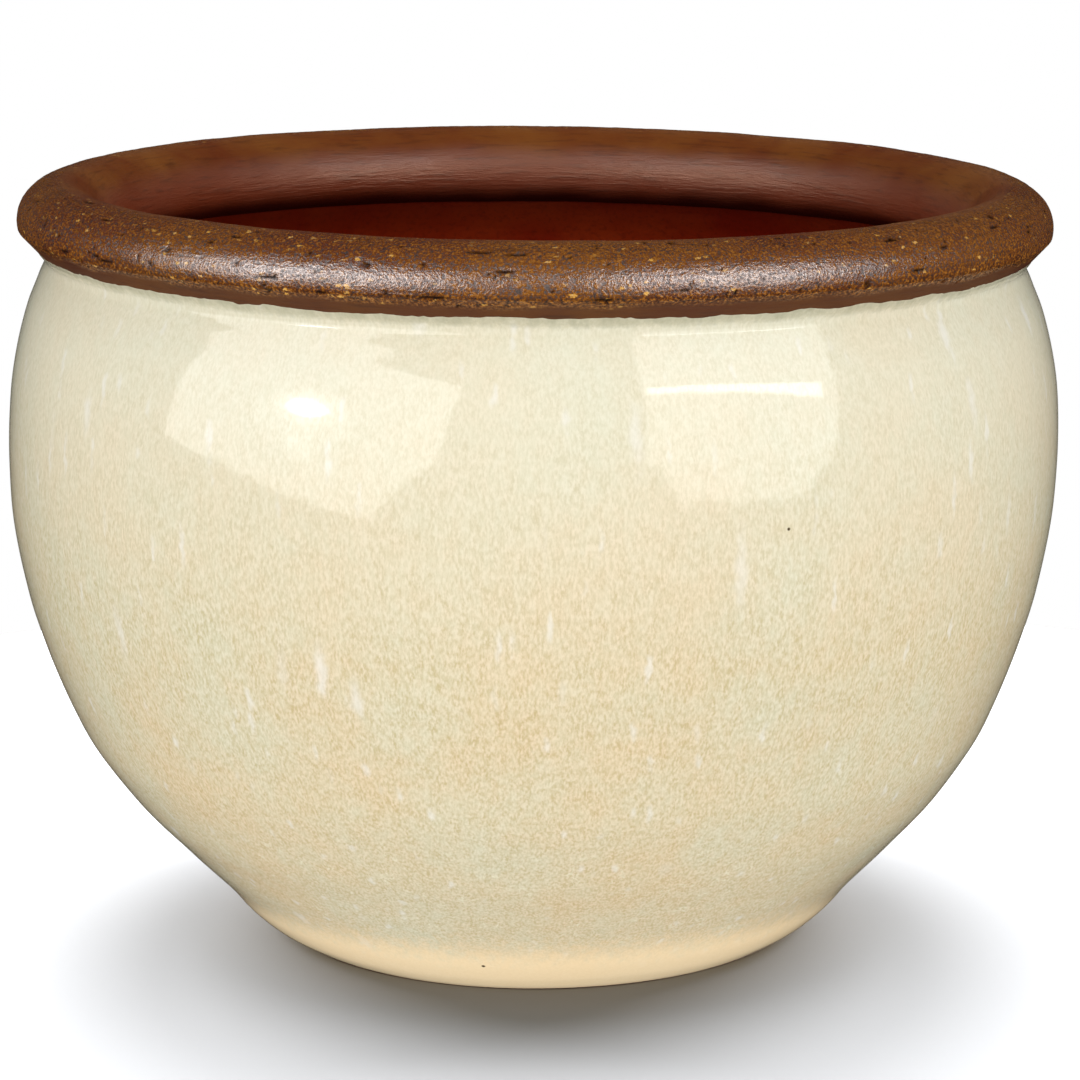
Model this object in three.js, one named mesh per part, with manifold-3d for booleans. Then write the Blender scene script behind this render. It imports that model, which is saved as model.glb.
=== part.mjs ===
// Round bonsai pot: a swelling stoneware bowl built up in clay sections on a foot ring,
// with a thick rolled rim, one glaze coat outside, an iron wash on the rim and a liner inside.
// Millimetres, +Z up. The origin is the centre of the foot, on the surface the pot stands on.

import * as THREE from "three";
import { mergeVertices } from "three/addons/utils/BufferGeometryUtils.js";
import Module from "manifold-3d";

// Outline of the fired, glazed pot: radius and height at each point, from the foot to the neck.
// The foot is a rounded edge with a faint waist above it, and the belly is widest at 157 mm.
const outlinePoints = [
  [81.5, 0],
  [90, 4.6],
  [97, 10.8],
  [103, 18],
  [116.5, 32],
  [132, 49.5],
  [146, 72],
  [157.5, 103],
  [164.4, 138],
  [164.4, 175],
  [158.5, 202],
  [152.5, 215],
];
const [neckRadius, neckHeight] = outlinePoints.at(-1);

// The rolled rim: an ellipse in section, cut back below its widest point to the neck.
const rimCentreRadius = 147.4;
const rimCentreHeight = 226.7;
const rimHalfWidth = 14.1;
const rimHalfHeight = 12.3;
const rimChamferStart = 11 * Math.PI / 180;
const rimInnerEnd = 45 * Math.PI / 180;

// Clay sections, from the foot up.
const wallThickness = 11;
const footHeight = 8;
const footInnerRadius = 65;
const footChamfer = 2;
const floorTop = 22;
const bellyJoint = 109;

// The rounded corner between floor and wall: how far it reaches along the floor and up the
// wall, and how far along the floor its curve is pulled out.
const cornerReach = 14;
const cornerPull = 10;

// Fired coats and the joints between pieces.
const coatThickness = 1;
const gap = 0.3;
const claySetBack = coatThickness + gap;
const glazeFootLine = 2;

// Holes through the floor.
const drainRadius = 16;
const tieHoleRadius = 4.5;
const tieHoleCircle = 48;
const tieHoleCount = 4;
const linerHoleMargin = 1;

const radialSegments = 36;
const holeSegments = 12;
const outlineDivisions = 2;
const rimSteps = 12;
const cornerSteps = 4;
const mergeTolerance = 1e-4;

const wasm = await Module();
wasm.setup();

function point(radius, height) {
  return new THREE.Vector2(radius, height);
}

// The outline as a smooth curve, and the same curve moved inwards by a depth.
const outline = new THREE.SplineCurve(outlinePoints.map(([r, z]) => point(r, z)));

function inset(depth) {
  const count = (outlinePoints.length - 1) * outlineDivisions;
  const points = [];
  for (let i = 0; i <= count; i += 1) {
    const place = outline.getPoint(i / count);
    const tangent = outline.getTangent(i / count);
    points.push(point(place.x - depth * tangent.y, place.y + depth * tangent.x));
  }
  return points;
}

// The part of an upward line between two heights, with its ends cut exactly there. Points
// nearer an end than the joint gap are left out, so that no facet is a sliver.
function between(points, low, high) {
  const cut = [atHeight(points, low)];
  for (const place of points) {
    if (place.y > low + gap && place.y < high - gap) cut.push(place);
  }
  cut.push(atHeight(points, high));
  return cut;
}

function atHeight(points, height) {
  const last = points.length - 1;
  let i = 1;
  while (i < last && points[i].y < height) i += 1;
  const share = (height - points[i - 1].y) / (points[i].y - points[i - 1].y);
  const radius = points[i - 1].x + share * (points[i].x - points[i - 1].x);
  return point(radius, height);
}

// The inner face of the pot above the floor: the wall's inset curve, joined to the floor
// by a rounded corner that leaves the floor level and runs into the wall.
function innerFace(depth, floorHeight, high) {
  const wall = inset(depth);
  const top = atHeight(wall, floorHeight + cornerReach);
  const foot = atHeight(wall, floorHeight + cornerReach / 2);
  const start = point(foot.x - cornerReach, floorHeight);
  const corner = point(start.x + cornerPull, floorHeight);
  const curve = new THREE.QuadraticBezierCurve(start, corner, top);
  return [...curve.getPoints(cornerSteps), ...between(wall, top.y, high).slice(1)];
}

// The rim's section moved inwards by a depth: up from the neck outside, over the top,
// and down inside to meet the wall's inner face.
function rimSection(depth, base) {
  const points = [point(neckRadius - depth, base)];
  const sweep = Math.PI + rimChamferStart + rimInnerEnd;
  for (let i = 0; i <= rimSteps; i += 1) {
    const angle = sweep * i / rimSteps - rimChamferStart;
    points.push(point(
      rimCentreRadius + (rimHalfWidth - depth) * Math.cos(angle),
      rimCentreHeight + (rimHalfHeight - depth) * Math.sin(angle),
    ));
  }
  const wallFace = atHeight(inset(wallThickness), neckHeight - gap).x;
  points.push(point(wallFace - claySetBack + depth, base));
  return points;
}

// A closed outline turned round the pot's axis, which stands along +Z. The first point is
// repeated at the end, and the turned mesh keeps one vertex where several meet.
function turned(points) {
  const closed = [...points, points[0].clone()];
  const geometry = new THREE.LatheGeometry(closed, radialSegments);
  geometry.rotateX(Math.PI / 2);
  return merged(geometry);
}

function merged(geometry) {
  const bare = geometry.clone();
  bare.deleteAttribute("normal");
  bare.deleteAttribute("uv");
  return mergeVertices(bare, mergeTolerance);
}

// Joining and cutting solids.
function toSolid(geometry) {
  return new wasm.Manifold(new wasm.Mesh({
    numProp: 3,
    vertProperties: new Float32Array(geometry.attributes.position.array),
    triVerts: new Uint32Array(geometry.index.array),
  }));
}

function toGeometry(solid) {
  const mesh = solid.getMesh();
  const geometry = new THREE.BufferGeometry();
  geometry.setAttribute("position", new THREE.BufferAttribute(mesh.vertProperties, 3));
  geometry.setIndex(new THREE.BufferAttribute(mesh.triVerts, 1));
  return geometry;
}

// The four tie-wire holes, drilled down through a piece.
function drillTieHoles(geometry, radius) {
  let solid = toSolid(geometry);
  for (let i = 0; i < tieHoleCount; i += 1) {
    const angle = 2 * Math.PI * i / tieHoleCount;
    const drill = new THREE.CylinderGeometry(radius, radius, 2 * floorTop, holeSegments);
    drill.rotateX(Math.PI / 2);
    drill.translate(tieHoleCircle * Math.cos(angle), tieHoleCircle * Math.sin(angle), floorTop);
    solid = solid.subtract(toSolid(merged(drill)));
  }
  return toGeometry(solid);
}

// Foot ring: the rounded base edge, with a flat ground face that the pot stands on.
// The glaze ends in a small step above that face.
function footRing() {
  const step = glazeFootLine - gap;
  return turned([
    point(footInnerRadius + footChamfer, 0),
    atHeight(inset(0), 0),
    atHeight(inset(0), step),
    ...between(inset(claySetBack), step, footHeight),
    point(footInnerRadius, footHeight),
    point(footInnerRadius, footChamfer),
  ]);
}

// Floor slab: a disc as wide as the wall that stands on it, with the drain and tie holes.
function floorSlab() {
  const skin = between(inset(claySetBack), footHeight + gap, floorTop);
  return drillTieHoles(turned([
    point(drainRadius, footHeight + gap),
    ...skin,
    point(drainRadius, floorTop),
  ]), tieHoleRadius);
}

// The bowl's wall in two thrown sections, joined at the belly.
function lowerWall() {
  const low = floorTop + gap;
  const outside = between(inset(claySetBack), low, bellyJoint);
  const inside = innerFace(wallThickness, low, bellyJoint);
  return turned([...outside, ...inside.reverse()]);
}

function upperWall() {
  const low = bellyJoint + gap;
  const high = neckHeight - gap;
  const outside = between(inset(claySetBack), low, high);
  const inside = between(inset(wallThickness), low, high);
  return turned([...outside, ...inside.reverse()]);
}

// Rolled rim: a thick coil set on the wall's top edge and turned outwards.
function rimRoll() {
  return turned(rimSection(claySetBack, neckHeight + gap));
}

// A fired coat: the surface itself and the same surface one coat deeper.
function coat(surface, backing) {
  return turned([...surface, ...backing.reverse()]);
}

// Glaze over the whole outside, from just above the foot to the neck.
function glazeCoat() {
  const low = glazeFootLine;
  const high = neckHeight - gap;
  return coat(between(inset(0), low, high), between(inset(coatThickness), low, high));
}

// Iron wash over the rim, down to the glaze outside and to the liner inside.
function rimWash() {
  return coat(rimSection(0, neckHeight), rimSection(coatThickness, neckHeight));
}

// Liner over the inside wall and the floor, open at the drain and tie holes.
function insideLiner() {
  const top = neckHeight - gap;
  const surface = innerFace(wallThickness + claySetBack, floorTop + claySetBack, top);
  const backing = innerFace(wallThickness + gap, floorTop + gap, top);
  const hole = drainRadius + linerHoleMargin;
  return drillTieHoles(
    coat([point(hole, backing[0].y), ...backing], [point(hole, surface[0].y), ...surface]),
    tieHoleRadius + linerHoleMargin,
  );
}

const bareClay = { color: 0x7a4e36, roughness: 0.9, metalness: 0 };
const creamGlaze = { color: 0xe0d6b4, roughness: 0.18, metalness: 0 };
const ironWash = { color: 0x5a2c14, roughness: 0.38, metalness: 0 };
const brownLiner = { color: 0x4e2a1a, roughness: 0.45, metalness: 0 };

const pieces = [
  ["foot_ring", footRing, bareClay],
  ["floor_slab", floorSlab, bareClay],
  ["lower_wall", lowerWall, bareClay],
  ["upper_wall", upperWall, bareClay],
  ["rim_roll", rimRoll, bareClay],
  ["cream_glaze_coat", glazeCoat, creamGlaze],
  ["rim_wash_coat", rimWash, ironWash],
  ["inside_liner_coat", insideLiner, brownLiner],
];

const pot = new THREE.Group();
for (const [name, shape, finish] of pieces) {
  const mesh = new THREE.Mesh(shape(), new THREE.MeshStandardMaterial(finish));
  mesh.name = name;
  pot.add(mesh);
}

export default pot;
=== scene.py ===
import math
import random

import bmesh
import bpy
from mathutils import Matrix, Vector, kdtree, noise


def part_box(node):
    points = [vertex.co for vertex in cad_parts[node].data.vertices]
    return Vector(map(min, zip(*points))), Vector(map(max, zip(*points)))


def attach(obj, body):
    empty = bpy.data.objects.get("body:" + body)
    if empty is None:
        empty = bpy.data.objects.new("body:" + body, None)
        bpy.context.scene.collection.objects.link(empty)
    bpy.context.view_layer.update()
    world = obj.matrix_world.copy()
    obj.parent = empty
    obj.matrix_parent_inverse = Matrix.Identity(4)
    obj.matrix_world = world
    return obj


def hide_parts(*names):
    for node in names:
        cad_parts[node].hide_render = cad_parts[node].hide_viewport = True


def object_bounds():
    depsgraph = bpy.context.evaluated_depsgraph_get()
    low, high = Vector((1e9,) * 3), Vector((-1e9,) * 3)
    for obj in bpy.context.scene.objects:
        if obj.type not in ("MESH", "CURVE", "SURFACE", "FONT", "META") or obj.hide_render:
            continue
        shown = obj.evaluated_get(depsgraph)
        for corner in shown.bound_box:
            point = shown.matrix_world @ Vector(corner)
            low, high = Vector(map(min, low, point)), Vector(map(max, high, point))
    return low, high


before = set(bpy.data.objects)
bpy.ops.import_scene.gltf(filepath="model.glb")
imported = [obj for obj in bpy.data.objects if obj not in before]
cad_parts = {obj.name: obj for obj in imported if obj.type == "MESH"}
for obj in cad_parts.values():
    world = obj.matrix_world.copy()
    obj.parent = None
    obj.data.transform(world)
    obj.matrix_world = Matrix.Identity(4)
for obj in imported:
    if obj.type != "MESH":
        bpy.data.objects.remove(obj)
cadLow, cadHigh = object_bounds()

fullTurn = 2 * math.pi
mm = 0.001
sideways = Vector((1, 1, 0))


# small helpers for outlines, spun shells and nodes

def smoothStep(low, high, value):
    t = min(max((value - low) / (high - low), 0), 1)
    return t * t * (3 - 2 * t)


def curveThrough(points, perSpan):
    # a soft curve through given points, as a line of (radius, 0, height)
    ends = [points[0], *points, points[-1]]
    line = []
    for a, b, c, d in zip(ends, ends[1:], ends[2:], ends[3:]):
        for step in range(perSpan):
            t = step / perSpan
            line.append(0.5 * (2 * b + (c - a) * t + (2 * a - 5 * b + 4 * c - d) * t ** 2
                               + (3 * b - a - 3 * c + d) * t ** 3))
    return line + [points[-1]]


def roundedCorner(start, corner, end, steps):
    turns = [n / steps for n in range(steps + 1)]
    return [start.lerp(corner, t).lerp(corner.lerp(end, t), t) for t in turns]


def movedIn(line, depth):
    # the same line, deeper in the clay
    moved = []
    for i, p in enumerate(line):
        along = (line[min(i + 1, len(line) - 1)] - line[max(i - 1, 0)]).normalized()
        moved.append(p + depth * Vector((-along.z, 0, along.x)))
    return moved


def atHeight(line, height):
    for a, b in zip(line, line[1:]):
        if b.z >= height:
            break
    return a.lerp(b, (height - a.z) / (b.z - a.z))


def between(line, low, high):
    inside = [p for p in line if low < p.z < high]
    return [atHeight(line, low), *inside, atHeight(line, high)]


def evenly(line, pitch):
    # the line again, with points an even pitch apart
    lengths = [(b - a).length for a, b in zip(line, line[1:])]
    count = max(1, round(sum(lengths) / pitch))
    step, points, walked, i = sum(lengths) / count, [line[0]], 0.0, 0
    for n in range(1, count):
        while walked + lengths[i] < n * step:
            walked += lengths[i]
            i += 1
        points.append(line[i].lerp(line[i + 1], (n * step - walked) / lengths[i]))
    return points + [line[-1]]


def spunShell(skin, back, turns):
    # spins a closed section round the pot's axis; skin is the face that shows, and turns
    # is a multiple of 16. One sixteenth is spun and then doubled four times, far quicker
    # than a whole turn
    bm = bmesh.new()
    shows = bm.verts.layers.float.new("shows")
    along = bm.verts.layers.float.new("along")
    corners, walked = [], 0.0
    for i, p in enumerate([*skin, *reversed(back)]):
        corners.append(bm.verts.new(p))
        if i and i < len(skin):
            walked += (p - skin[i - 1]).length
        corners[-1][shows] = 1.0 if i < len(skin) else 0.0
        corners[-1][along] = walked
    edges = [bm.edges.new((corners[i - 1], corners[i])) for i in range(len(corners))]
    share = 16
    sector = fullTurn / share
    bmesh.ops.spin(bm, geom=corners + edges, cent=(0, 0, 0), axis=(0, 0, 1), dvec=(0, 0, 0),
                   angle=sector, steps=turns // share, use_merge=False)
    done = 1
    while done < share:
        copy = bmesh.ops.duplicate(bm, geom=[*bm.verts, *bm.edges, *bm.faces])["geom"]
        turned = [part for part in copy if isinstance(part, bmesh.types.BMVert)]
        bmesh.ops.rotate(bm, verts=turned, cent=(0, 0, 0),
                         matrix=Matrix.Rotation(sector * done, 3, "Z"))
        done *= 2
    bmesh.ops.remove_doubles(bm, verts=bm.verts, dist=0.001 * mm)
    bmesh.ops.recalc_face_normals(bm, faces=bm.faces)
    bm.normal_update()
    return bm


def finishPiece(bm, name, node, material):
    for face in bm.faces:
        face.smooth = True
    mesh = bpy.data.meshes.new(name)
    bm.to_mesh(mesh)
    bm.free()
    mesh.set_sharp_from_angle(angle=math.radians(50))
    mesh.materials.append(material)
    piece = bpy.data.objects.new(name, mesh)
    bpy.context.scene.collection.objects.link(piece)
    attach(piece, "root")
    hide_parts(node)
    print("made", name, len(mesh.polygons), "faces")
    return piece


def linear(hexColour):
    channels = [int(hexColour[i:i + 2], 16) / 255 for i in (1, 3, 5)]
    return [c / 12.92 if c < 0.04045 else ((c + 0.055) / 1.055) ** 2.4 for c in channels] + [1]


def addNode(tree, kind, inputs, **settings):
    node = tree.nodes.new(kind)
    for name, value in settings.items():
        setattr(node, name, value)
    for name, value in inputs.items():
        if isinstance(value, bpy.types.NodeSocket):
            tree.links.new(value, node.inputs[name])
        else:
            node.inputs[name].default_value = value
    return node.outputs


def newMaterial(name):
    material = bpy.data.materials.new(name)
    material.use_nodes = True
    material.node_tree.nodes.clear()
    return material, material.node_tree


# the pot's shape: heights of the joints come from the frame, the outline is the CAD's own

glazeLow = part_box("cream_glaze_coat")[0]
floorLow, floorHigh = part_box("floor_slab")
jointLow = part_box("lower_wall")[1].z

pot = {                   # millimetres
    "outline": [(81.5, 0), (90, 4.6), (97, 10.8), (103, 18), (116.5, 32), (132, 49.5),
                (146, 72), (157.5, 103), (164.4, 138), (164.4, 175), (158.5, 202), (152.5, 215)],
    "wall": 11.0,
    "coat": 1.0,
    "gap": 0.3,
    "footInner": 65.0,
    "footTop": 8.0,
    "footChamfer": 2.0,
    "drainRadius": 16.0,
    "tieRadius": 4.5,
    "tieCircle": 48.0,
    "cornerReach": 14.0,  # the rounded corner between floor and wall
    "cornerPull": 10.0,
}
rim = {
    "centre": (147.4, 226.7),
    "halfWidth": 14.1,
    "halfHeight": 12.3,
    "chamferStart": math.radians(11),
    "innerEnd": math.radians(45),
    "innerDrop": 2.2,     # how much lower the roll hangs on the inside
    "steps": 40,
}
hand = {
    "rimTilt": 0.013,     # the rim is lower on one side, as a hand-set coil is
    "footReach": 100,     # the foot's shift fades out up to here, the rim's in from topFrom
    "topFrom": 120,
    "rimShift": 1.3,      # how far rim and foot sit off the belly's centre
    "footShift": 1.3,
    "outOfRound": 0.35,
}

outline = curveThrough([Vector((r, 0, z)) * mm for r, z in pot["outline"]], 16)
neck = outline[-1].z
coat, gap, wall = pot["coat"] * mm, pot["gap"] * mm, pot["wall"] * mm
clayIn = coat + gap


def handShaped(co):
    # what the potter's hands did: the foot and rim sit a little off the belly's centre
    foot = 1 - smoothStep(0, hand["footReach"] * mm, co.z)
    top = smoothStep(hand["topFrom"] * mm, neck, co.z)
    out = hand["outOfRound"] * mm * noise.noise(Vector((co.x, co.y, co.z * 0.6)) * 9)
    level = co * sideways
    moved = co + level.normalized() * out if level.length > 0.02 else co.copy()
    moved.x += (hand["footShift"] * foot + hand["rimShift"] * top) * mm
    moved.z -= hand["rimTilt"] * co.x * top
    return moved


def shapeByHand(bm):
    for v in bm.verts:
        v.co = handShaped(v.co)
    bm.normal_update()


def rimLine(depth, base, steps):
    centre = Vector((rim["centre"][0], 0, rim["centre"][1])) * mm
    wide, tall = rim["halfWidth"] * mm - depth, rim["halfHeight"] * mm - depth
    sweep = math.pi + rim["chamferStart"] + rim["innerEnd"]
    line = [Vector((outline[-1].x - depth, 0, base))]
    for i in range(steps + 1):
        angle = sweep * i / steps - rim["chamferStart"]
        drop = rim["innerDrop"] * mm * smoothStep(math.pi / 2, math.pi, angle)
        line.append(centre + Vector((wide * math.cos(angle), 0, tall * math.sin(angle) - drop)))
    wallFace = atHeight(movedIn(outline, wall), neck - gap).x
    return line + [Vector((wallFace - clayIn + depth, 0, base))]


def innerLine(depth, floorHeight, high):
    # the inside of the pot: floor, rounded corner, wall
    inner = movedIn(outline, depth)
    reach, pull = pot["cornerReach"] * mm, pot["cornerPull"] * mm
    top = atHeight(inner, floorHeight + reach)
    start = Vector((atHeight(inner, floorHeight + reach / 2).x - reach, 0, floorHeight))
    curve = roundedCorner(start, start + Vector((pull, 0, 0)), top, 12)
    return curve + between(inner, top.z, high)[1:]


glazeTones = {
    "tan": "#cbbe96",         # the fine grain runs from tan to cream
    "cream": "#e8dec6",
    "curds": "#e4e1ca",
    "coolClouds": "#fafbf8",
    # the shoulder's whiter, cooler tone is a painted sheen
    "warmClouds": "#fff3e6",
    "shoulderSheen": "#ebebd8",
    "runs": "#f2f0ea",
    "worms": "#f0ebd2",
    # the foot's tone is the warm thin coat, lightened with painted bounce light from the table
    "foot": "#fbe0b4",
    "thinEdge": "#a09c80",
    "pinholes": "#4a3a26",
}


def creamGlazeFinish():
    # opaque cream glaze on stoneware, gloss fired: fine tan and greenish-white curdling that
    # ran a little downhill, pale runs, warmer where it thins at the foot
    # painted light in this finish: a whiter sheen on the shoulder and bounce light from the table on
    # the foot
    material, tree = newMaterial("creamGlazeGlossFired")
    place = addNode(tree, "ShaderNodeTexCoord", {})["Object"]
    grain = addNode(tree, "ShaderNodeMapping", {"Vector": place, "Scale": (1, 1, 0.4)})[0]
    # grain: 0.8 mm across and 2 mm down the wall
    fine = addNode(tree, "ShaderNodeTexNoise",
                   {"Vector": grain, "Scale": 1300, "Detail": 2, "Roughness": 0.6})[0]
    fineShare = addNode(tree, "ShaderNodeMapRange",
                        {"Value": fine, "From Min": 0.34, "From Max": 0.66})[0]
    base = addNode(tree, "ShaderNodeMix", {0: fineShare, 6: linear(glazeTones["tan"]),
                                           7: linear(glazeTones["cream"])}, data_type="RGBA")[2]
    # curds: 3 mm patches of greenish white
    curds = addNode(tree, "ShaderNodeTexNoise",
                    {"Vector": grain, "Scale": 340, "Detail": 3, "Roughness": 0.6})[0]
    curdShare = addNode(tree, "ShaderNodeMapRange",
                        {"Value": curds, "From Min": 0.36, "From Max": 0.66,
                         "To Max": 0.4})[0]
    curdled = addNode(tree, "ShaderNodeMix",
                      {0: curdShare, 6: base, 7: linear(glazeTones["curds"])},
                      data_type="RGBA")[2]
    # clouds 50 mm wide, where the coat is thicker and cooler or thinner and pinker
    clouds = addNode(tree, "ShaderNodeTexNoise",
                     {"Vector": place, "Scale": 20, "Detail": 5, "Roughness": 0.65})[0]
    cloudShare = addNode(tree, "ShaderNodeMapRange",
                         {"Value": clouds, "From Min": 0.36, "From Max": 0.64})[0]
    tint = addNode(tree, "ShaderNodeMix", {0: cloudShare, 6: linear(glazeTones["coolClouds"]),
                                           7: linear(glazeTones["warmClouds"])}, data_type="RGBA")[2]
    warm = addNode(tree, "ShaderNodeMix", {0: 1.0, 6: curdled, 7: tint},
                   data_type="RGBA", blend_type="MULTIPLY")[2]
    # painted sheen: the shoulder is whiter and cooler, as the sky's reflection makes it
    height = addNode(tree, "ShaderNodeSeparateXYZ", {"Vector": place})["Z"]
    sheenHeight = addNode(tree, "ShaderNodeMath", {0: clouds, 1: 0.05, 2: height},
                    operation="MULTIPLY_ADD")[0]
    shoulderSheen = addNode(tree, "ShaderNodeMapRange", {"Value": sheenHeight, "From Min": 0.14,
                                                    "From Max": 0.225, "To Max": 0.5})[0]
    sheened = addNode(tree, "ShaderNodeMix",
                   {0: shoulderSheen, 6: warm, 7: linear(glazeTones["shoulderSheen"])},
                   data_type="RGBA")[2]
    # pale runs: long ones 3 mm wide and 20 mm long, short ones 2 mm wide and 10 mm long
    wavy = addNode(tree, "ShaderNodeTexNoise", {"Vector": place, "Scale": 260, "Detail": 1})[1]
    wave = addNode(tree, "ShaderNodeVectorMath", {0: wavy, 1: (0.5, 0.5, 0.5)},
                   operation="SUBTRACT")[0]
    swayed = addNode(tree, "ShaderNodeVectorMath", {0: wave, 1: (0.0028, 0.0028, 0.0028), 2: place},
                     operation="MULTIPLY_ADD")[0]
    tinted = sheened
    for scale, chosen, size, strength in ((100, 0.8, 0.13, 0.6), (210, 0.64, 0.15, 0.45)):
        runPlace = addNode(tree, "ShaderNodeMapping",
                           {"Vector": swayed, "Scale": (1, 1, 0.16)})[0]
        cell = addNode(tree, "ShaderNodeTexVoronoi", {"Vector": runPlace, "Scale": scale},
                       feature="F1")
        pick = addNode(tree, "ShaderNodeSeparateColor", {"Color": cell["Color"]})[0]
        isChosen = addNode(tree, "ShaderNodeMapRange",
                           {"Value": pick, "From Min": chosen, "From Max": chosen + 0.1})[0]
        body = addNode(tree, "ShaderNodeMapRange",
                       {"Value": cell["Distance"], "From Min": size + 0.18, "From Max": size - 0.1,
                        "To Max": strength}, interpolation_type="SMOOTHSTEP")[0]
        share = addNode(tree, "ShaderNodeMath", {0: isChosen, 1: body},
                        operation="MULTIPLY")[0]
        tinted = addNode(tree, "ShaderNodeMix",
                         {0: share, 6: tinted, 7: linear(glazeTones["runs"])},
                         data_type="RGBA")[2]
    # pale, worm-like curdles on the lower belly
    worms = addNode(tree, "ShaderNodeTexNoise",
                    {"Vector": place, "Scale": 300, "Detail": 1, "Distortion": 0.8})[0]
    wormDip = addNode(tree, "ShaderNodeMath", {0: worms, 1: 0.5}, operation="SUBTRACT")[0]
    wormSize = addNode(tree, "ShaderNodeMath", {0: wormDip}, operation="ABSOLUTE")[0]
    wormShare = addNode(tree, "ShaderNodeMapRange",
                        {"Value": wormSize, "From Min": 0.035, "From Max": 0.01,
                         "To Max": 0.6})[0]
    sparse = addNode(tree, "ShaderNodeTexNoise", {"Vector": place, "Scale": 150})[0]
    wormPick = addNode(tree, "ShaderNodeMapRange", {"Value": sparse, "From Min": 0.56,
                                                    "From Max": 0.64})[0]
    wormPicked = addNode(tree, "ShaderNodeMath", {0: wormShare, 1: wormPick},
                         operation="MULTIPLY")[0]
    lowShare = addNode(tree, "ShaderNodeMapRange",
                       {"Value": height, "From Min": 0.075, "From Max": 0.045},
                       interpolation_type="SMOOTHSTEP")[0]
    wormHere = addNode(tree, "ShaderNodeMath", {0: wormPicked, 1: lowShare},
                       operation="MULTIPLY")[0]
    crawled = addNode(tree, "ShaderNodeMix",
                      {0: wormHere, 6: tinted, 7: linear(glazeTones["worms"])},
                      data_type="RGBA")[2]
    # the thin, warm coat over the foot, lightened with painted bounce light from the table
    drifted = addNode(tree, "ShaderNodeMath", {0: curds, 1: 0.015, 2: height},
                      operation="MULTIPLY_ADD")[0]
    footCoatAndBounceShare = addNode(tree, "ShaderNodeMapRange",
                        {"Value": drifted, "From Min": 0.034, "From Max": 0.018,
                         "To Max": 0.85}, interpolation_type="SMOOTHSTEP")[0]
    atFoot = addNode(tree, "ShaderNodeMix",
                     {0: footCoatAndBounceShare, 6: crawled, 7: linear(glazeTones["foot"])},
                     data_type="RGBA")[2]
    # at the top edge the coat thins over the iron wash and turns grey-green
    edge = addNode(tree, "ShaderNodeAttribute", {}, attribute_name="nearEdge")["Fac"]
    ragged = addNode(tree, "ShaderNodeMath", {0: curds, 1: 0.5, 2: edge},
                     operation="MULTIPLY_ADD")[0]
    edgeShare = addNode(tree, "ShaderNodeMapRange",
                        {"Value": ragged, "From Min": 0.95, "From Max": 1.35,
                         "To Max": 0.75})[0]
    atEdge = addNode(tree, "ShaderNodeMix",
                     {0: edgeShare, 6: atFoot, 7: linear(glazeTones["thinEdge"])},
                     data_type="RGBA")[2]
    # pinholes with iron in them, 1 mm across
    pinCell = addNode(tree, "ShaderNodeTexVoronoi", {"Vector": place, "Scale": 42}, feature="F1")
    pinPick = addNode(tree, "ShaderNodeSeparateColor", {"Color": pinCell["Color"]})[1]
    pinChosen = addNode(tree, "ShaderNodeMapRange",
                        {"Value": pinPick, "From Min": 0.7, "From Max": 0.72})[0]
    pinBody = addNode(tree, "ShaderNodeMapRange",
                      {"Value": pinCell["Distance"], "From Min": 0.03, "From Max": 0.02})[0]
    pinShare = addNode(tree, "ShaderNodeMath", {0: pinChosen, 1: pinBody},
                       operation="MULTIPLY")[0]
    coloured = addNode(tree, "ShaderNodeMix",
                       {0: pinShare, 6: atEdge, 7: linear(glazeTones["pinholes"])},
                       data_type="RGBA")[2]
    ripple = addNode(tree, "ShaderNodeTexNoise", {"Vector": place, "Scale": 110, "Detail": 2})[0]
    relief = addNode(tree, "ShaderNodeBump", {"Height": ripple, "Strength": 0.05,
                                              "Distance": 0.001})[0]
    shader = addNode(tree, "ShaderNodeBsdfPrincipled",
                     {"Base Color": coloured, "Roughness": 0.06, "IOR": 1.52,
                      "Normal": relief})[0]
    addNode(tree, "ShaderNodeOutputMaterial", {"Surface": shader})
    return material


washTones = {
    "redBrown": "#642703",    # the clouds run from red-brown to amber
    "amber": "#7a4308",
    "inside": "#7a2f0c",
    # painted shade on the smooth band under the rim
    "underRimShade": "#3e1803",
    "sandTops": "#ab702c",
    "hollows": "#1e0a04",
    "strokes": "#341305",
    "grog": "#dda548",
    "pits": "#160804",
    # innerEnd: painted shade where the coat runs under the roll
    "innerEnd": "#2c0501",
    "dullShine": "#726a62",   # these tint the shine: darker is duller
    "insideShine": "#f1cdb4",
    "pitShine": "#333333",
}


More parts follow.
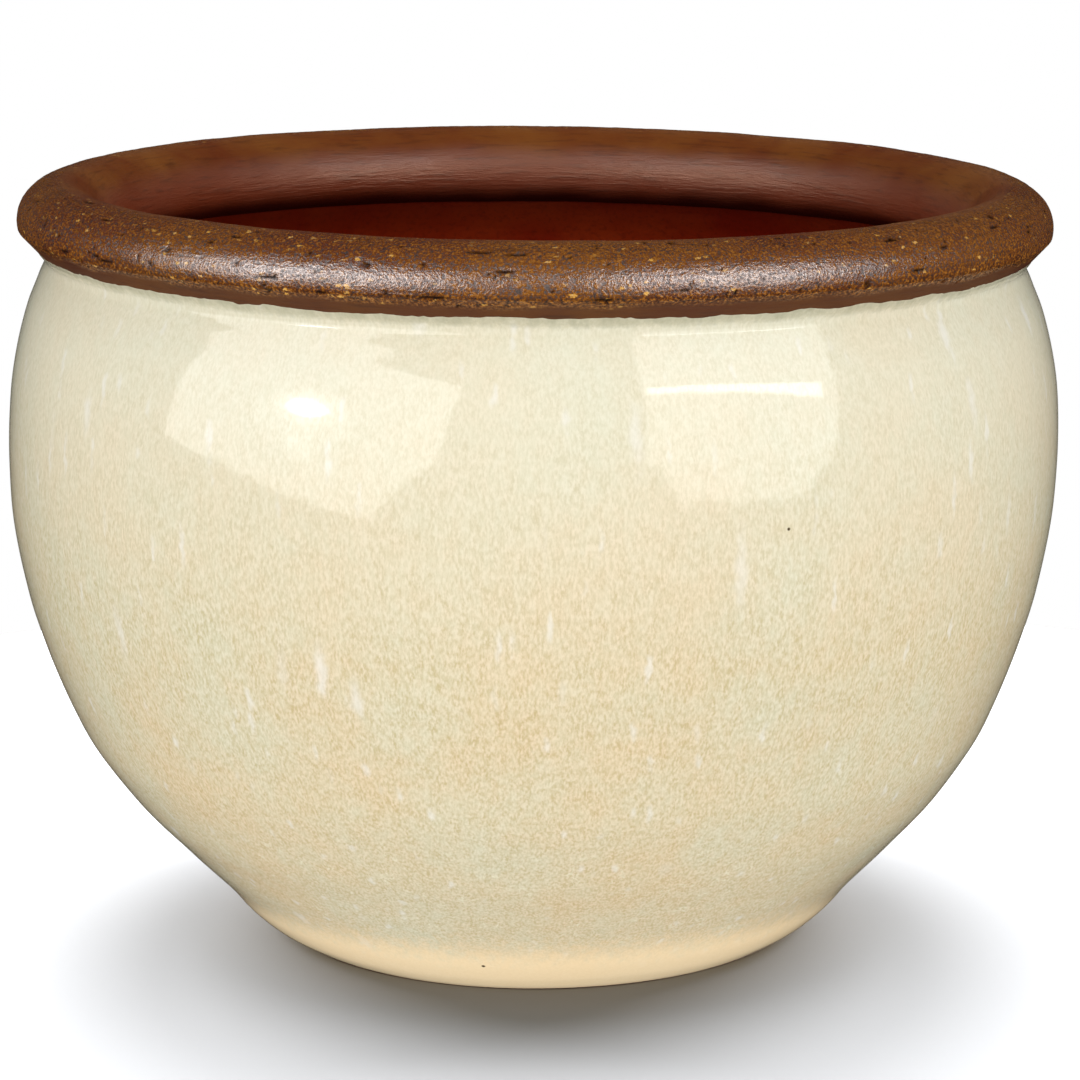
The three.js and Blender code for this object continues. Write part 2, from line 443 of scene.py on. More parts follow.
def ironWashFinish():
    # iron-rich slip brushed on the rim and fired satin: red-brown, sandy and pitted, with
    # golden grog. Iron crystals at its skin make it shine more than plain glass would
    # painted shade in this finish: the smooth band under the rim and the inner end under the roll are
    # darkened
    material, tree = newMaterial("ironWashSatinFired")
    wrap = addNode(tree, "ShaderNodeAttribute", {}, attribute_name="wrap")["Vector"]
    pits = addNode(tree, "ShaderNodeAttribute", {}, attribute_name="pit")["Fac"]
    grit = addNode(tree, "ShaderNodeAttribute", {}, attribute_name="grit")["Fac"]
    inside = addNode(tree, "ShaderNodeAttribute", {}, attribute_name="inside")["Fac"]
    clouds = addNode(tree, "ShaderNodeTexNoise",
                     {"Vector": wrap, "Scale": 24, "Detail": 4, "Roughness": 0.6})[0]
    cloudShare = addNode(tree, "ShaderNodeMapRange",
                         {"Value": clouds, "From Min": 0.35, "From Max": 0.65})[0]
    base = addNode(tree, "ShaderNodeMix", {0: cloudShare, 6: linear(washTones["redBrown"]),
                                           7: linear(washTones["amber"])}, data_type="RGBA")[2]
    turned = addNode(tree, "ShaderNodeMix",
                     {0: inside, 6: base, 7: linear(washTones["inside"])},
                     data_type="RGBA")[2]
    ironRichPastShade = addNode(tree, "ShaderNodeAttribute", {}, attribute_name="ironRichPastShade")["Fac"]
    # painted shade: the smooth band on the roll's underside is darkened, fading out where the iron
    # crystals start
    underRimShadeShare = addNode(tree, "ShaderNodeMapRange", {"Value": ironRichPastShade, "To Min": 0.5,
                                                     "To Max": 0})[0]
    underRimShaded = addNode(tree, "ShaderNodeMix",
                     {0: underRimShadeShare, 6: turned, 7: linear(washTones["underRimShade"])},
                     data_type="RGBA")[2]
    # sand under the slip, 0.8 mm: its tops are rubbed thin and golden, its hollows dark
    sand = addNode(tree, "ShaderNodeTexNoise",
                   {"Vector": wrap, "Scale": 1300, "Detail": 2, "Roughness": 0.65})[0]
    top = addNode(tree, "ShaderNodeMapRange",
                  {"Value": sand, "From Min": 0.5, "From Max": 0.66, "To Max": 0.85})[0]
    topHere = addNode(tree, "ShaderNodeMath", {0: top, 1: grit}, operation="MULTIPLY")[0]
    sandy = addNode(tree, "ShaderNodeMix",
                    {0: topHere, 6: underRimShaded, 7: linear(washTones["sandTops"])},
                    data_type="RGBA")[2]
    hollow = addNode(tree, "ShaderNodeMapRange",
                     {"Value": sand, "From Min": 0.46, "From Max": 0.34, "To Max": 0.9})[0]
    hollowHere = addNode(tree, "ShaderNodeMath", {0: hollow, 1: grit}, operation="MULTIPLY")[0]
    hollowed = addNode(tree, "ShaderNodeMix",
                       {0: hollowHere, 6: sandy, 7: linear(washTones["hollows"])},
                       data_type="RGBA")[2]
    # brush lines that run round the rim, 1.2 mm apart
    strokes = addNode(tree, "ShaderNodeMapping", {"Vector": wrap, "Scale": (0.1, 0.1, 1)})[0]
    brushed = addNode(tree, "ShaderNodeTexNoise",
                      {"Vector": strokes, "Scale": 800, "Detail": 4, "Roughness": 0.65})[0]
    darkShare = addNode(tree, "ShaderNodeMapRange",
                        {"Value": brushed, "From Min": 0.52, "From Max": 0.7,
                         "To Max": 0.45})[0]
    streaked = addNode(tree, "ShaderNodeMix", {0: darkShare, 6: hollowed,
                                               7: linear(washTones["strokes"])}, data_type="RGBA")[2]
    # golden grog in ragged grains about 1 mm across
    wavy = addNode(tree, "ShaderNodeTexNoise", {"Vector": wrap, "Scale": 1500, "Detail": 1})[1]
    ragged = addNode(tree, "ShaderNodeVectorMath", {0: wavy, 1: (0.002, 0.002, 0.0014),
                                                    2: wrap}, operation="MULTIPLY_ADD")[0]
    grogPlace = addNode(tree, "ShaderNodeMapping", {"Vector": ragged,
                                                    "Scale": (0.7, 0.7, 1.1)})[0]
    grogCell = addNode(tree, "ShaderNodeTexVoronoi", {"Vector": grogPlace, "Scale": 700},
                       feature="F1")
    grogPick = addNode(tree, "ShaderNodeSeparateColor", {"Color": grogCell["Color"]})[0]
    grogChosen = addNode(tree, "ShaderNodeMapRange",
                         {"Value": grogPick, "From Min": 0.93, "From Max": 0.98})[0]
    grogBody = addNode(tree, "ShaderNodeMapRange",
                       {"Value": grogCell["Distance"], "From Min": 0.45, "From Max": 0.3})[0]
    grogShare = addNode(tree, "ShaderNodeMath", {0: grogChosen, 1: grogBody},
                        operation="MULTIPLY")[0]
    grogHere = addNode(tree, "ShaderNodeMath", {0: grogShare, 1: grit},
                       operation="MULTIPLY")[0]
    specked = addNode(tree, "ShaderNodeMix",
                      {0: grogHere, 6: streaked, 7: linear(washTones["grog"])},
                      data_type="RGBA")[2]
    coloured = addNode(tree, "ShaderNodeMix",
                       {0: pits, 6: specked, 7: linear(washTones["pits"])},
                       data_type="RGBA")[2]
    rough = addNode(tree, "ShaderNodeMath", {0: sand, 1: grit}, operation="MULTIPLY")[0]
    relief = addNode(tree, "ShaderNodeBump", {"Height": rough, "Strength": 0.6,
                                              "Distance": 0.0004})[0]
    score = addNode(tree, "ShaderNodeMapRange", {"Value": inside, "To Min": 0.25,
                                                 "To Max": 0.8})[0]
    scored = addNode(tree, "ShaderNodeBump", {"Height": brushed, "Strength": score,
                                              "Distance": 0.0006, "Normal": relief})[0]
    # the tops of the grains shine, the hollows between them are matt
    gloss = addNode(tree, "ShaderNodeMapRange", {"Value": clouds, "From Min": 0.3,
                                                 "From Max": 0.7, "To Min": 0.46,
                                                 "To Max": 0.6})[0]
    shine = addNode(tree, "ShaderNodeMapRange", {"Value": sand, "From Min": 0.4,
                                                 "From Max": 0.54, "To Min": 0.5,
                                                 "To Max": 0.1})[0]
    roughness = addNode(tree, "ShaderNodeMix", {0: grit, 2: gloss, 3: shine})[0]
    # painted shade: the inner end of the coat darkens into the liner, in the roll's shadow
    innerEndShade = addNode(tree, "ShaderNodeAttribute", {}, attribute_name="innerEnd")["Fac"]
    innerEndShaded = addNode(tree, "ShaderNodeMix",
                    {0: innerEndShade, 6: coloured, 7: linear(washTones["innerEnd"])},
                    data_type="RGBA")[2]
    # iron crystals cover the grit and the inside. The top and the band underneath have
    # none and mirror less, and the pits almost nothing
    covered = addNode(tree, "ShaderNodeMath", {0: grit, 1: inside}, operation="MAXIMUM")[0]
    crystals = addNode(tree, "ShaderNodeMath", {0: covered, 1: ironRichPastShade},
                       operation="MULTIPLY")[0]
    mirror = addNode(tree, "ShaderNodeMix", {0: crystals, 6: linear(washTones["dullShine"]),
                                             7: (1, 1, 1, 1)}, data_type="RGBA")[2]
    warmth = addNode(tree, "ShaderNodeMix", {0: inside, 6: (1, 1, 1, 1),
                                             7: linear(washTones["insideShine"])}, data_type="RGBA")[2]
    warmed = addNode(tree, "ShaderNodeMix", {0: 1.0, 6: mirror, 7: warmth},
                     data_type="RGBA", blend_type="MULTIPLY")[2]
    shade = addNode(tree, "ShaderNodeMath", {0: pits, 1: innerEndShade}, operation="MAXIMUM")[0]
    mirrored = addNode(tree, "ShaderNodeMix",
                       {0: shade, 6: warmed, 7: linear(washTones["pitShine"])},
                       data_type="RGBA")[2]
    shader = addNode(tree, "ShaderNodeBsdfPrincipled",
                     {"Base Color": innerEndShaded, "Roughness": roughness, "IOR": 3.0,
                      "Specular Tint": mirrored, "Normal": scored})[0]
    addNode(tree, "ShaderNodeOutputMaterial", {"Surface": shader})
    return material


linerTones = {
    "red": "#801a04",         # the clouds run from red to brown
    "brown": "#943008",
    "grain": "#5a0e03",
    # painted shade on the wall in the roll's shadow
    "shadeUnderRoll": "#2c0501",
}


def brownLinerFinish():
    # the same iron slip poured inside and fired satin: smooth, darker and redder, with
    # faint throwing rings
    material, tree = newMaterial("brownLinerSatinFired")
    place = addNode(tree, "ShaderNodeTexCoord", {})["Object"]
    rings = addNode(tree, "ShaderNodeMapping", {"Vector": place, "Scale": (0.15, 0.15, 1)})[0]
    thrown = addNode(tree, "ShaderNodeTexNoise",
                     {"Vector": rings, "Scale": 160, "Detail": 3, "Roughness": 0.5})[0]
    clouds = addNode(tree, "ShaderNodeTexNoise",
                     {"Vector": place, "Scale": 26, "Detail": 4, "Roughness": 0.6})[0]
    share = addNode(tree, "ShaderNodeMapRange",
                    {"Value": clouds, "From Min": 0.35, "From Max": 0.65})[0]
    base = addNode(tree, "ShaderNodeMix", {0: share, 6: linear(linerTones["red"]),
                                           7: linear(linerTones["brown"])}, data_type="RGBA")[2]
    grain = addNode(tree, "ShaderNodeTexNoise",
                    {"Vector": place, "Scale": 700, "Detail": 2, "Roughness": 0.6})[0]
    grainShare = addNode(tree, "ShaderNodeMapRange",
                         {"Value": grain, "From Min": 0.5, "From Max": 0.7, "To Max": 0.5})[0]
    grained = addNode(tree, "ShaderNodeMix",
                      {0: grainShare, 6: base, 7: linear(linerTones["grain"])},
                      data_type="RGBA")[2]
    # painted shade: darker just below the rim, in the roll's shadow
    height = addNode(tree, "ShaderNodeSeparateXYZ", {"Vector": place})["Z"]
    underRollShadeShare = addNode(tree, "ShaderNodeMapRange", {"Value": height, "From Min": 0.198,
                                                    "From Max": 0.212, "To Max": 0.6})[0]
    underRollShaded = addNode(tree, "ShaderNodeMix",
                     {0: underRollShadeShare, 6: grained, 7: linear(linerTones["shadeUnderRoll"])},
                     data_type="RGBA")[2]
    relief = addNode(tree, "ShaderNodeBump", {"Height": thrown, "Strength": 0.4,
                                              "Distance": 0.001})[0]
    gloss = addNode(tree, "ShaderNodeMapRange", {"Value": clouds, "To Min": 0.3,
                                                 "To Max": 0.45})[0]
    shader = addNode(tree, "ShaderNodeBsdfPrincipled",
                     {"Base Color": underRollShaded, "Roughness": gloss, "IOR": 1.5,
                      "Normal": relief})[0]
    addNode(tree, "ShaderNodeOutputMaterial", {"Surface": shader})
    return material


clayTones = {
    "dark": "#8a5a3c",        # the clouds run from dark to pale
    "pale": "#a37350",
    "grit": "#5c3722",
}


def bareClayFinish():
    # unglazed stoneware body: warm brown, matt, gritty where the foot was trimmed
    material, tree = newMaterial("bareStonewareTrimmed")
    place = addNode(tree, "ShaderNodeTexCoord", {})["Object"]
    grit = addNode(tree, "ShaderNodeTexNoise",
                   {"Vector": place, "Scale": 700, "Detail": 3, "Roughness": 0.65})[0]
    clouds = addNode(tree, "ShaderNodeTexNoise",
                     {"Vector": place, "Scale": 30, "Detail": 3, "Roughness": 0.6})[0]
    share = addNode(tree, "ShaderNodeMapRange",
                    {"Value": clouds, "From Min": 0.35, "From Max": 0.65})[0]
    base = addNode(tree, "ShaderNodeMix", {0: share, 6: linear(clayTones["dark"]),
                                           7: linear(clayTones["pale"])}, data_type="RGBA")[2]
    gritShare = addNode(tree, "ShaderNodeMapRange",
                        {"Value": grit, "From Min": 0.58, "From Max": 0.72, "To Max": 0.6})[0]
    gritted = addNode(tree, "ShaderNodeMix",
                      {0: gritShare, 6: base, 7: linear(clayTones["grit"])},
                      data_type="RGBA")[2]
    relief = addNode(tree, "ShaderNodeBump", {"Height": grit, "Strength": 0.5,
                                              "Distance": 0.0005})[0]
    shader = addNode(tree, "ShaderNodeBsdfPrincipled",
                     {"Base Color": gritted, "Roughness": 0.88, "IOR": 1.5,
                      "Normal": relief})[0]
    addNode(tree, "ShaderNodeOutputMaterial", {"Surface": shader})
    return material


creamGlazeLook = creamGlazeFinish()
ironWashLook = ironWashFinish()
brownLinerLook = brownLinerFinish()
bareClayLook = bareClayFinish()
print("finishes ready")


# the clay sections: foot ring, floor slab, two walls and the rolled rim

clay = {
    "turns": 240,         # facets round the pot
    "holeSides": 48,
    "drillLength": 60,
}


def claySection(name, node, skin, back):
    bm = spunShell(skin, back, clay["turns"])
    shapeByHand(bm)
    return finishPiece(bm, name, node, bareClayLook)


def drilled(piece, radius):
    # cuts the tie-wire holes through a piece
    bm = bmesh.new()
    for i in range(4):
        turn = fullTurn * i / 4
        at = Vector((math.cos(turn), math.sin(turn), 0)) * pot["tieCircle"] * mm
        at.z = floorHigh.z
        bmesh.ops.create_cone(bm, cap_ends=True, segments=clay["holeSides"],
                              radius1=radius * mm, radius2=radius * mm,
                              depth=clay["drillLength"] * mm,
                              matrix=Matrix.Translation(at))
    for v in bm.verts:
        v.co = handShaped(v.co)
    mesh = bpy.data.meshes.new("drill")
    bm.to_mesh(mesh)
    bm.free()
    drill = bpy.data.objects.new("drill", mesh)
    bpy.context.scene.collection.objects.link(drill)
    cut = piece.modifiers.new("tieHoles", "BOOLEAN")
    cut.operation, cut.object, cut.solver = "DIFFERENCE", drill, "EXACT"
    depsgraph = bpy.context.evaluated_depsgraph_get()
    done = bpy.data.meshes.new_from_object(piece.evaluated_get(depsgraph))
    piece.modifiers.remove(cut)
    old, piece.data = piece.data, done
    bpy.data.meshes.remove(old)
    bpy.data.objects.remove(drill)
    bpy.data.meshes.remove(mesh)


clayOutline = movedIn(outline, clayIn)
footTop, floorTop = pot["footTop"] * mm, floorHigh.z
stepUp = glazeLow.z - gap
footInner, footChamfer = pot["footInner"] * mm, pot["footChamfer"] * mm
ringOut = [outline[0], atHeight(outline, stepUp), *between(clayOutline, stepUp, footTop)]
ringIn = [Vector((footInner + footChamfer, 0, 0)), Vector((footInner, 0, footChamfer)),
          Vector((footInner, 0, footTop))]
claySection("footRing", "foot_ring", ringOut, ringIn)

slabOut = between(clayOutline, floorLow.z, floorTop)
slabHole = [Vector((pot["drainRadius"] * mm, 0, z)) for z in (floorLow.z, floorTop)]
floorSlab = claySection("floorSlab", "floor_slab", slabOut, slabHole)
drilled(floorSlab, pot["tieRadius"])

claySection("lowerWall", "lower_wall", between(clayOutline, floorTop + gap, jointLow),
            innerLine(wall, floorTop + gap, jointLow))
claySection("upperWall", "upper_wall", between(clayOutline, jointLow + gap, neck - gap),
            between(movedIn(outline, wall), jointLow + gap, neck - gap))
rollLine = rimLine(clayIn, neck + gap, rim["steps"])
half = len(rollLine) // 2
claySection("rimRoll", "rim_roll", rollLine[:half], list(reversed(rollLine[half:])))


# the cream glaze, which pools in the corner under the rim and climbs it a little

glaze = {
    "turns": 560,
    "pitch": 2.2,
    "backPitch": 14,
    # throwing rings: height, how far each stands out, and how wide it is
    "rings": [(109, 0.22, 7), (67, 0.16, 6), (84, -0.08, 9), (148, -0.06, 12),
              (206.5, -0.42, 4.5)],
    "lumps": 0.22,        # lumps 50 mm wide
    "fineRings": 0.05,
    "pool": 2.4,          # how far the pooled corner reaches along the wall and the rim
    "climb": (2.3, 1.1),  # how far past the pool the coat climbs, and how much that varies
    "lip": 0.35,          # how thick it is there
    "footLine": 0.35,     # where it ends, rolled over the foot's edge
    "roll": 0.3,          # how far that roll stands out
    "edgeFade": 7,        # how far below the pool it starts to thin
    "flatFrom": (-8, -3),  # the rings fade out between these, short of the rim
    "deepest": -0.8,      # how deep its end is tucked into the rim
}


def glazeRelief(co):
    rise = sum(height * math.exp(-((co.z / mm - at) / wide) ** 2)
               for at, height, wide in glaze["rings"])
    rise += glaze["lumps"] * noise.noise(co * 20)
    rise += glaze["fineRings"] * noise.noise(Vector((co.x * 8, co.y * 8, co.z * 90)))
    return rise * mm


def makeCreamGlaze():
    pool = glaze["pool"] * mm
    corner, chamfer = rimLine(0, neck, rim["steps"])[:2]
    up = (chamfer - corner).normalized()
    wallEnd = atHeight(outline, neck - pool)
    footLine = glaze["footLine"] * mm
    rolled = movedIn(outline, -glaze["roll"] * mm)
    atFoot = between(rolled, footLine, glazeLow.z)
    onWall = between(outline, glazeLow.z + mm, neck - pool)
    body = evenly(atFoot + onWall, glaze["pitch"] * mm)
    pooled = roundedCorner(wallEnd, corner, corner + up * pool, 5)[1:]
    climbing = [corner + up * (pool + n * 0.4 * mm) for n in range(1, 13)]
    back = evenly(between(movedIn(outline, coat), glazeLow.z, neck - gap),
                  glaze["backPitch"] * mm)
    bm = spunShell(body + pooled + climbing, back, glaze["turns"])
    shows = bm.verts.layers.float["shows"]
    along = bm.verts.layers.float["along"]
    nearEdge = bm.verts.layers.float.new("nearEdge")
    bodyLength = sum((b - a).length for a, b in zip(body, body[1:]))
    poolLength = sum((b - a).length for a, b in zip([wallEnd, *pooled], pooled))
    climb, varies = glaze["climb"]
    for v in bm.verts:
        if not v[shows]:
            continue
        past = (v[along] - bodyLength - poolLength) / mm
        # the edge wanders every 10 mm, and again every 2.5 mm
        wander = noise.noise(v.co * sideways * 100) + 0.7 * noise.noise(v.co * sideways * 400)
        reach = climb + varies * wander
        v[nearEdge] = smoothStep(-glaze["edgeFade"], 0.6 * reach, past)
        low = 1 - smoothStep(*glaze["flatFrom"], past)
        lip = glaze["lip"] * smoothStep(-poolLength / mm, 0, past)
        if past > 0:
            lip = max(glaze["lip"] * (1 - (past / max(reach, 0.3)) ** 2),
                      glaze["deepest"])
        v.co += v.normal * (glazeRelief(v.co) * low + lip * mm)
    shapeByHand(bm)
    finishPiece(bm, "creamGlaze", "cream_glaze_coat", creamGlazeLook)


makeCreamGlaze()


# the iron wash: smooth under the rim and inside, sandy and pitted on the outside and top

wash = {
    "turns": 1152,
    "pitch": (0.8, 1.3),  # fine where it is gritty, wider inside
    "backPitch": 9,
    "lumps": 0.3,         # lumps 35 mm wide, bumps 11 mm wide and, in the grit, grains
    "bumps": 0.12,
    "grains": 0.1,
    "smoothTo": (7, 12),  # the lumps fade in between these, clear of the glaze
    "gritFrom": 10.5,     # where the grit starts and ends, along the section from the neck
    "gritTo": 42,
    "wander": 1.6,        # how raggedly it starts and ends
    # crystalFade also sets how soon the painted shade under the rim fades out
    "crystalFade": 9,     # how soon iron crystals cover it
    "insideFade": (4, 16),
    "endFade": 9,         # how far up from its inner end the painted shade under the roll reaches
    "pits": 230,          # how many, and their sizes in millimetres
    "pitRadius": (0.5, 1.5),
    "scratches": 46,
    "scratchLength": (2, 6),
    "scratchWidth": (0.5, 0.8),
    "depth": (0.25, 0.6),
    "lap": 0.9,           # how far its inner edge runs down over the liner
    "seed": 11,
}


def makeRimWash():
    line = evenly(rimLine(0, neck, 200), wash["pitch"][0] * mm)
    fineEnd = round((wash["gritTo"] + 2) / wash["pitch"][0])
    skin = line[:fineEnd] + evenly(line[fineEnd:], wash["pitch"][1] * mm)
    back = evenly(rimLine(coat, neck, 12), wash["backPitch"] * mm)
    bm = spunShell(skin, back, wash["turns"])
    shows = bm.verts.layers.float["shows"]
    along = bm.verts.layers.float["along"]
    wrap = bm.verts.layers.float_vector.new("wrap")
    pit = bm.verts.layers.float.new("pit")
    grit = bm.verts.layers.float.new("grit")
    ironRichPastShade = bm.verts.layers.float.new("ironRichPastShade")
    inside = bm.verts.layers.float.new("inside")
    innerEnd = bm.verts.layers.float.new("innerEnd")
    length = sum((b - a).length for a, b in zip(skin, skin[1:])) / mm
    radius = rim["centre"][0] * mm
    skinVerts = [v for v in bm.verts if v[shows]]
    tree = kdtree.KDTree(len(skinVerts))
    moves, gritty = [], []
    for i, v in enumerate(skinVerts):
        tree.insert(v.co, i)
        turn = math.atan2(v.co.y, v.co.x)
        v[wrap] = Vector((radius * math.cos(turn), radius * math.sin(turn), v[along]))
        ragged = v[along] / mm + wash["wander"] * noise.noise(v.co * 60)
        start, stop = wash["gritFrom"], wash["gritTo"]
        v[ironRichPastShade] = smoothStep(start, start + wash["crystalFade"], ragged)
        v[innerEnd] = smoothStep(length - wash["endFade"], length - 1, ragged)
        v[inside] = smoothStep(*(stop + fade for fade in wash["insideFade"]), ragged)
        v[grit] = (smoothStep(start - 2, start + 1, ragged)
                   * (1 - smoothStep(stop - 12, stop, ragged)))
        rise = wash["lumps"] * noise.noise(v.co * 28) + wash["bumps"] * noise.noise(v.co * 90)
        rise += wash["grains"] * v[grit] * noise.noise(v.co * 520)
        moves.append(rise * smoothStep(*wash["smoothTo"], v[along] / mm))
        if v[grit] > 0.6:
            gritty.append(v)
    tree.balance()
    rng = random.Random(wash["seed"])
    marks = [("pit", *wash["pitRadius"])] * wash["pits"]
    marks += [("scratch", *wash["scratchLength"])] * wash["scratches"]
    for kind, small, large in marks:
        centre = rng.choice(gritty).co
        size = rng.uniform(small, large) * rng.uniform(0.6, 1) * mm
        narrow = size if kind == "pit" else rng.uniform(*wash["scratchWidth"]) * mm
        deep = rng.uniform(*wash["depth"])
        sideDirection = Vector((-centre.y, centre.x, 0)).normalized()
        for co, i, distance in tree.find_range(centre, size):
            step = co - centre
            lengthwise = step.dot(sideDirection)
            across = math.sqrt(max(distance ** 2 - lengthwise ** 2, 0))
            wobble = 1 + 0.5 * noise.noise(co * 900)
            t = wobble * math.hypot(lengthwise / size, across / narrow)
            if t < 1:
                bowl = (1 - t * t) ** 1.5
                moves[i] -= deep * bowl
                v = skinVerts[i]
                v[pit] = max(v[pit], min(1, 1.4 * bowl))
    normals = [v.normal.copy() for v in skinVerts]
    for v, normal, move in zip(skinVerts, normals, moves):
        v.co += normal * move * mm
        lap = smoothStep(length - 3, length, v[along] / mm)
        v.co += (normal * 0.25 - Vector((0, 0, wash["lap"]))) * lap * mm
    shapeByHand(bm)
    finishPiece(bm, "rimWash", "rim_wash_coat", ironWashLook)


makeRimWash()


# the liner poured over the inside

liner = {
    "turns": 368,
    "pitch": 2.6,
    "backPitch": 12,
    "rings": 0.25,        # how far the throwing rings and the lumps stand out
    "lumps": 0.3,
    "holeMargin": 1,      # bare clay left round each hole
}


def makeInsideLiner():
    top = neck - gap
    hole = (pot["drainRadius"] + liner["holeMargin"]) * mm
    face = innerLine(wall + clayIn, floorTop + clayIn, top)
    deep = innerLine(wall + gap, floorTop + gap, top)
    skin = evenly([Vector((hole, 0, face[0].z)), *face], liner["pitch"] * mm)
    back = evenly([Vector((hole, 0, deep[0].z)), *deep], liner["backPitch"] * mm)
    bm = spunShell(skin, back, liner["turns"])
    shows = bm.verts.layers.float["shows"]
    for v in bm.verts:
        if v[shows] and v.co.z > floorTop + 4 * mm:
            ring = noise.noise(Vector((v.co.x * 4, v.co.y * 4, v.co.z * 70)))
            lump = noise.noise(v.co * 20)
            v.co += v.normal * (liner["rings"] * ring + liner["lumps"] * lump) * mm
    shapeByHand(bm)
    piece = finishPiece(bm, "insideLiner", "inside_liner_coat", brownLinerLook)
    drilled(piece, pot["tieRadius"] + liner["holeMargin"])


makeInsideLiner()


# a plain pale floor, soft lights and the camera

studio = {
    "floorRadius": 0.45,
    "floorColour": "#7c7d7f",  # the floor lights bring it up to a pale grey
    "aimHeight": 0.17,    # windows and lamps are turned and raised from here
    # windows: the corners' turn from the front and height in degrees, and the brightness
    "distance": 4.0,
    "leftWindow": ([(-84, 3), (-80, 26), (-43, 35), (-15, 25), (-20, 4), (-34, -9)], 2.3),
    "rightWindow": ([(24, 40), (71, 31), (63, -2), (56, -7), (30, -6), (23, 3)], 2.0),
    # lamps: shape, turn and height in degrees, distance, width and height in metres,
    # brightness, tilt in degrees
    "leftLamp": ("ELLIPSE", -49, 15.5, 1.9, 0.32, 0.13, 8.0, 0),
    "leftGlow": ("ELLIPSE", -49, 15, 1.92, 0.5, 0.27, 1.3, 0),
    "leftHaze": ("ELLIPSE", -49, 13, 1.94, 0.75, 0.5, 0.7, 0),
    "leftTail": ("ELLIPSE", -49, 9.5, 1.96, 0.22, 0.5, 0.9, 0),
    "rightStrip": ("RECTANGLE", 43, 20, 1.95, 1.4, 0.12, 6.0, -11),
    # wide suns that only matt surfaces show: turn, height, spread, brightness
    "frontFill": (0, 55, 50, 0.15),
    "rightFill": (75, 35, 50, 0.17),
    "backFill": (180, 30, 70, 0.4),
    # the same on the floor alone, so that the pot stands in a soft shadow
    "floorTop": (0, 90, 55, 1.8),
    "floorBack": (180, 60, 40, 3.4),
    "floorLeft": (-120, 40, 40, 3.4),
    "floorRight": (120, 40, 40, 3.2),
    "floorFront": (0, 50, 50, 0.4),
    "bounce": 0.95,       # light that comes up from the table
    "roomDiffuse": 0.28,
    "roomGloss": 0.02,    # how bright the room looks in the glaze
}


def studioFloor():
    bm = bmesh.new()
    bmesh.ops.create_circle(bm, cap_ends=True, segments=96, radius=studio["floorRadius"])
    bmesh.ops.translate(bm, verts=bm.verts, vec=(0, 0, cadLow.z))
    mesh = bpy.data.meshes.new("studioFloor")
    bm.to_mesh(mesh)
    bm.free()
    material, tree = newMaterial("paleStudioPaper")
    shader = addNode(tree, "ShaderNodeBsdfPrincipled",
                     {"Base Color": linear(studio["floorColour"]), "Roughness": 0.9,
                      "Specular IOR Level": 0})[0]
    # clear from below, so that the foot can be seen
    below = addNode(tree, "ShaderNodeNewGeometry", {})["Backfacing"]
    clear = addNode(tree, "ShaderNodeBsdfTransparent", {})[0]
    seen = addNode(tree, "ShaderNodeMixShader", {0: below, 1: shader, 2: clear})[0]
    addNode(tree, "ShaderNodeOutputMaterial", {"Surface": seen})
    mesh.materials.append(material)
    sheet = bpy.data.objects.new("studioFloor", mesh)
    bpy.context.scene.collection.objects.link(sheet)
    sheet.visible_glossy = False
    sheet.visible_diffuse = False
    sheet.visible_shadow = False
    return sheet


def direction(turn, rise):
    turn, rise = math.radians(turn), math.radians(rise)
    return Vector((math.sin(turn) * math.cos(rise), -math.cos(turn) * math.cos(rise),
                   math.sin(rise)))


def lightGroup(name, sheet, state):
    # a light linking group that holds the floor, to light it alone or to leave it out
    group = bpy.data.collections.new(name)
    group.objects.link(sheet)
    group.collection_objects[0].light_linking.link_state = state
    return group


def addLight(name, kind, **settings):
    data = bpy.data.lights.new(name, kind)
    for key, value in settings.items():
        setattr(data, key, value)
    lamp = bpy.data.objects.new(name, data)
    bpy.context.scene.collection.objects.link(lamp)
    lamp.visible_camera = False
    return lamp


def windowPanel(name, group):
    # a glowing panel with straight edges, seen in the glaze but not by the camera
    corners, bright = studio[name]
    bm = bmesh.new()
    aim = Vector((0, 0, studio["aimHeight"]))
    verts = [bm.verts.new(aim + direction(turn, rise) * studio["distance"])
             for turn, rise in corners]
    bm.faces.new(verts)
    bmesh.ops.triangulate(bm, faces=bm.faces)
    mesh = bpy.data.meshes.new(name)
    bm.to_mesh(mesh)
    bm.free()
    material, tree = newMaterial(name + "Glow")
    glow = addNode(tree, "ShaderNodeEmission", {"Strength": bright})[0]
    addNode(tree, "ShaderNodeOutputMaterial", {"Surface": glow})
    mesh.materials.append(material)
    panel = bpy.data.objects.new(name, mesh)
    bpy.context.scene.collection.objects.link(panel)
    panel.visible_camera = False
    panel.visible_shadow = False
    panel.light_linking.receiver_collection = group


def softLamp(name, group):
    shape, turn, rise, distance, wide, tall, bright, tilt = studio[name]
    level = direction(turn, 0)
    filled = 1 if shape == "RECTANGLE" else math.pi / 4
    lamp = addLight(name, "AREA", shape=shape, size=wide, size_y=tall,
                    energy=bright * math.pi * wide * tall * filled)
    lamp.location = level * distance
    lamp.location.z = studio["aimHeight"] + math.tan(math.radians(rise)) * distance
    facing = (-level).to_track_quat("-Z", "Y").to_matrix()
    lamp.rotation_euler = (facing @ Matrix.Rotation(math.radians(tilt), 3, "Z")).to_euler()
    lamp.light_linking.receiver_collection = group


def wideSun(name, group):
    turn, rise, spread, bright = studio[name]
    lamp = addLight(name, "SUN", energy=bright * math.pi, angle=math.radians(spread))
    lamp.rotation_euler = direction(turn, rise).to_track_quat("Z", "Y").to_euler()
    lamp.visible_glossy = False
    lamp.light_linking.receiver_collection = group


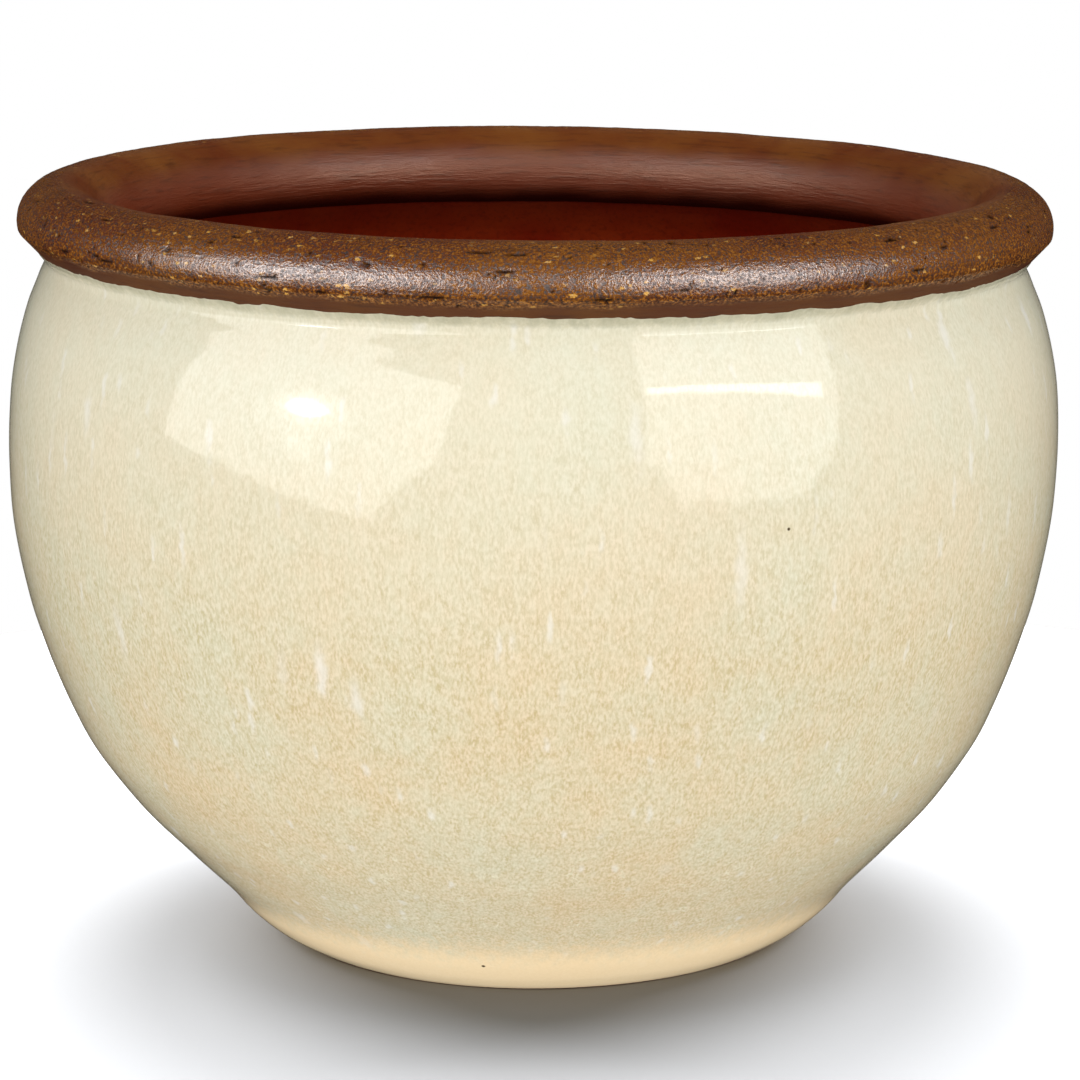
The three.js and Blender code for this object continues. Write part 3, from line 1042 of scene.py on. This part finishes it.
sheet = studioFloor()
potOnly = lightGroup("lightsThePot", sheet, "EXCLUDE")
floorOnly = lightGroup("lightsTheFloor", sheet, "INCLUDE")
for name in ("leftWindow", "rightWindow"):
    windowPanel(name, potOnly)
for name in ("leftLamp", "leftGlow", "leftHaze", "leftTail", "rightStrip"):
    softLamp(name, potOnly)
for name in ("frontFill", "rightFill", "backFill"):
    wideSun(name, potOnly)
for name in ("floorTop", "floorBack", "floorLeft", "floorRight", "floorFront"):
    wideSun(name, floorOnly)

# the world is white to the camera, soft to matt surfaces and dim in the reflections
world = bpy.data.worlds.new("paleRoom")
bpy.context.scene.world = world
world.use_nodes = True
tree = world.node_tree
tree.nodes.clear()
facing = addNode(tree, "ShaderNodeTexCoord", {})["Generated"]
up = addNode(tree, "ShaderNodeSeparateXYZ", {"Vector": facing})["Z"]
soft = addNode(tree, "ShaderNodeMapRange",
               {"Value": up, "From Min": -0.1, "From Max": 0.1, "To Min": studio["bounce"],
                "To Max": studio["roomDiffuse"]})[0]
ray = addNode(tree, "ShaderNodeLightPath", {})
room = addNode(tree, "ShaderNodeMix", {0: ray["Is Diffuse Ray"], 2: studio["roomGloss"],
                                       3: soft})[0]
bright = addNode(tree, "ShaderNodeMix", {0: ray["Is Camera Ray"], 2: room, 3: 1.0})[0]
sky = addNode(tree, "ShaderNodeBackground", {"Color": (1, 1, 1, 1), "Strength": bright})[0]
addNode(tree, "ShaderNodeOutputWorld", {"Surface": sky})

view = {                  # metres, radians, and the lens in millimetres
    "distance": 1.2595,
    "height": 0.3907,
    "pitch": 0.2096,
    "yaw": 0.00174,
    "roll": -0.0048,
    "lens": 134.45,
}
cameraData = bpy.data.cameras.new("potCamera")
cameraData.lens, cameraData.sensor_width = view["lens"], 36
camera = bpy.data.objects.new("potCamera", cameraData)
bpy.context.scene.collection.objects.link(camera)
camera.matrix_world = (
    Matrix.Translation((0, -view["distance"], view["height"]))
    @ Matrix.Rotation(-view["yaw"], 4, "Z")
    @ Matrix.Rotation(math.pi / 2 - view["pitch"], 4, "X")
    @ Matrix.Rotation(view["roll"], 4, "Z"))
bpy.context.scene.camera = camera
bpy.context.scene.view_settings.view_transform = "Standard"
print("stage ready")
